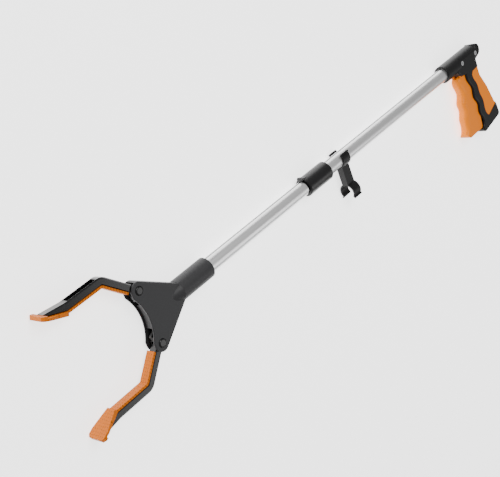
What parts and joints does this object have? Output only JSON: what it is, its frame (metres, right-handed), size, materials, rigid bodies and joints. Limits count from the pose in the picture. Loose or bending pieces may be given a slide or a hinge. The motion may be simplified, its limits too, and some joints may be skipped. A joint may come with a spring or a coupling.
{
  "type": "reacher grabber",
  "caption": "Folding reacher grabber: pistol grip with a trigger, two aluminium tubes with a fold joint, and two soft-lined jaws.",
  "frame": {"origin": "middle of the overall box in X and Y, at its lowest level, with the object lying on its side", "axes": "+X along the tubes from the jaws to the handle; the grip points to -Y; +Z is square to the grip's flat side, with the screw heads on that side"},
  "size_m": [0.808, 0.186, 0.025],
  "materials": {
    "tube": "satin anodised, drawn lengthwise",
    "joint_black": "satin black moulding",
    "handle_black": "fine grained black moulding",
    "head_grey": "dark grey, finely textured",
    "rivet_black": "gloss black",
    "arm_black": "gloss black moulding",
    "pad_orange": "soft matt orange",
    "inlay_orange": "soft matt orange",
    "trigger_orange": "satin orange moulding",
    "screw_steel": "bright plated",
    "pin_steel": "ground steel",
    "rod_steel": "drawn steel wire",
    "ferrule_metal": "plain",
    "cable_steel": "stranded wire",
    "spring_steel": "spring wire",
    "inner_plastic": "plain black moulding"
  },
  "bodies": {
    "handle": {"handle_shell_left": "handle_black", "handle_shell_right": "handle_black", "grip_inlay_left": "inlay_orange", "grip_inlay_right": "inlay_orange", "handle_screws": "screw_steel", "rear_tube": "tube", "joint_sleeve": "joint_black", "cable_guide": "inner_plastic", "hinge_pin": "pin_steel", "trigger_spring": "spring_steel", "joint_cable": "cable_steel"},
    "front_frame": {"front_collar": "joint_black", "front_tube": "tube", "jaw_housing": "head_grey", "jaw_cover": "head_grey", "jaw_rivets": "rivet_black", "jaw_spring": "spring_steel"},
    "trigger": {"trigger": "trigger_orange", "hook_pin": "pin_steel"},
    "rear_rod": {"rear_pull_rod": "rod_steel", "rod_end": "inner_plastic", "rear_ferrule": "ferrule_metal"},
    "front_rod": {"front_pull_rod": "rod_steel", "yoke": "inner_plastic", "front_ferrule": "ferrule_metal"},
    "jaw_upper": {"jaw_arm_upper": "arm_black", "drive_pin_upper": "pin_steel", "jaw_pad_upper": "pad_orange"},
    "jaw_lower": {"jaw_arm_lower": "arm_black", "drive_pin_lower": "pin_steel", "jaw_pad_lower": "pad_orange"},
    "clip": {"storage_clip": "joint_black"}
  },
  "joints": [
    {"name": "fold_hinge", "type": "hinge", "parent": "handle", "child": "front_frame", "pos_m": [-0.01828, 0.03117, 0.0125], "axis": [0, 0, -1], "range_deg": [0, 168], "deforming": ["joint_cable"]},
    {"name": "trigger_pivot", "type": "hinge", "parent": "handle", "child": "trigger", "pos_m": [0.34472, 0.01977, 0.0125], "axis": [0, 0, 1], "range_deg": [0, 20], "stiffness_Nm_per_rad": 0.8, "deforming": ["trigger_spring"]},
    {"name": "rear_rod_slide", "type": "slide", "parent": "handle", "child": "rear_rod", "axis": [1, 0, 0], "range_m": [0, 0.00453]},
    {"name": "front_rod_slide", "type": "slide", "parent": "front_frame", "child": "front_rod", "axis": [1, 0, 0], "range_m": [0, 0.00453], "deforming": ["jaw_spring"]},
    {"name": "jaw_upper_pivot", "type": "hinge", "parent": "front_frame", "child": "jaw_upper", "pos_m": [-0.29228, 0.05177, 0.0125], "axis": [0, 0, 1], "range_deg": [0, 34]},
    {"name": "jaw_lower_pivot", "type": "hinge", "parent": "front_frame", "child": "jaw_lower", "pos_m": [-0.29228, -0.01223, 0.0125], "axis": [0, 0, -1], "range_deg": [0, 34]},
    {"name": "clip_slide", "type": "slide", "parent": "handle", "child": "clip", "axis": [1, 0, 0], "range_m": [-0.02, 0.17]}
  ],
  "couplings": [
    {"joint": "rear_rod_slide", "follows": "trigger_pivot", "m_per_rad": 0.012934},
    {"joint": "front_rod_slide", "follows": "trigger_pivot", "m_per_rad": 0.012934},
    {"joint": "jaw_upper_pivot", "follows": "trigger_pivot", "ratio": 1.7},
    {"joint": "jaw_lower_pivot", "follows": "trigger_pivot", "ratio": 1.7}
  ]
}
